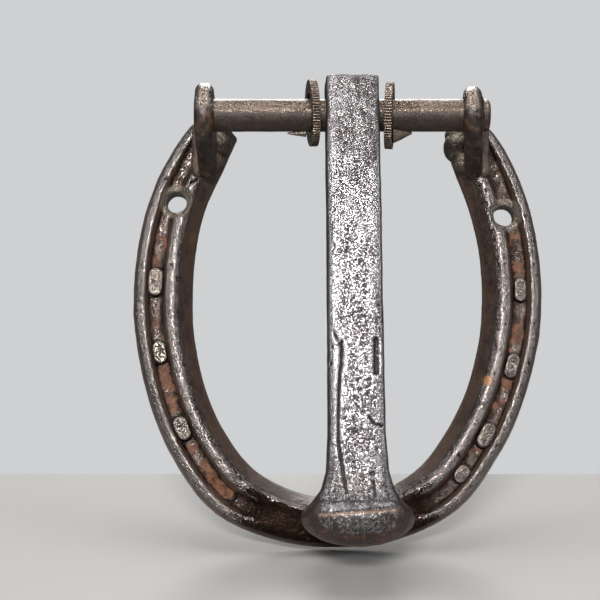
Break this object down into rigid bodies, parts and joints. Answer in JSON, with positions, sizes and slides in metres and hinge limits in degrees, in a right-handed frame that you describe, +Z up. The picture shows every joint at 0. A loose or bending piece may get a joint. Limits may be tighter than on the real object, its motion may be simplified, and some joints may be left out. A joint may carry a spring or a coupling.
{
  "type": "horseshoe door knocker",
  "caption": "Horseshoe back plate with welded ears, a pivot bar and a hinged spike that swings out and strikes the toe; screwed to a door or wall.",
  "frame": {"origin": "on the flat back face, at the middle of the toe's web", "axes": "+Y out of the flat back face into the door, so the front faces -Y; +Z up the shoe to its heels; +X to the right seen from the front, along the pivot bar"},
  "size_m": [0.1233, 0.0404, 0.1345],
  "materials": {
    "shoe_steel": "dark worn steel, polished on the crests, brown rust in the crease",
    "ear_steel": "dark brown oiled steel, worn brighter at the top",
    "bar_steel": "bronze-brown rusted round bar with pale worn streaks",
    "washer_metal": "dull grey-brown metal with a reeded edge",
    "weld_steel": "grey porous weld metal",
    "spike_steel": "wire-brushed, finely pitted bright steel with brown rust at the rim",
    "nail_steel": "pitted silver steel, worn flat"
  },
  "bodies": {
    "back_plate": {"horseshoe": "shoe_steel", "ear_left": "ear_steel", "ear_right": "ear_steel", "pivot_bar": "bar_steel", "washer_left": "washer_metal", "washer_right": "washer_metal", "washer_tack_left": "weld_steel", "washer_tack_right": "weld_steel", "nail_left_1": "nail_steel", "nail_left_2": "nail_steel", "nail_left_3": "nail_steel", "nail_right_1": "nail_steel", "nail_right_2": "nail_steel", "nail_right_3": "nail_steel", "nail_right_4": "nail_steel", "weld_left_inner": "weld_steel", "weld_left_outer": "weld_steel", "weld_right_inner": "weld_steel", "weld_right_outer": "weld_steel"},
    "striker": {"spike_striker": "spike_steel"}
  },
  "joints": [
    {"name": "striker_swing", "type": "hinge", "parent": "back_plate", "child": "striker", "pos_m": [0.0038, -0.0285, 0.1166], "axis": [-1, 0, 0], "range_deg": [0, 185]}
  ]
}
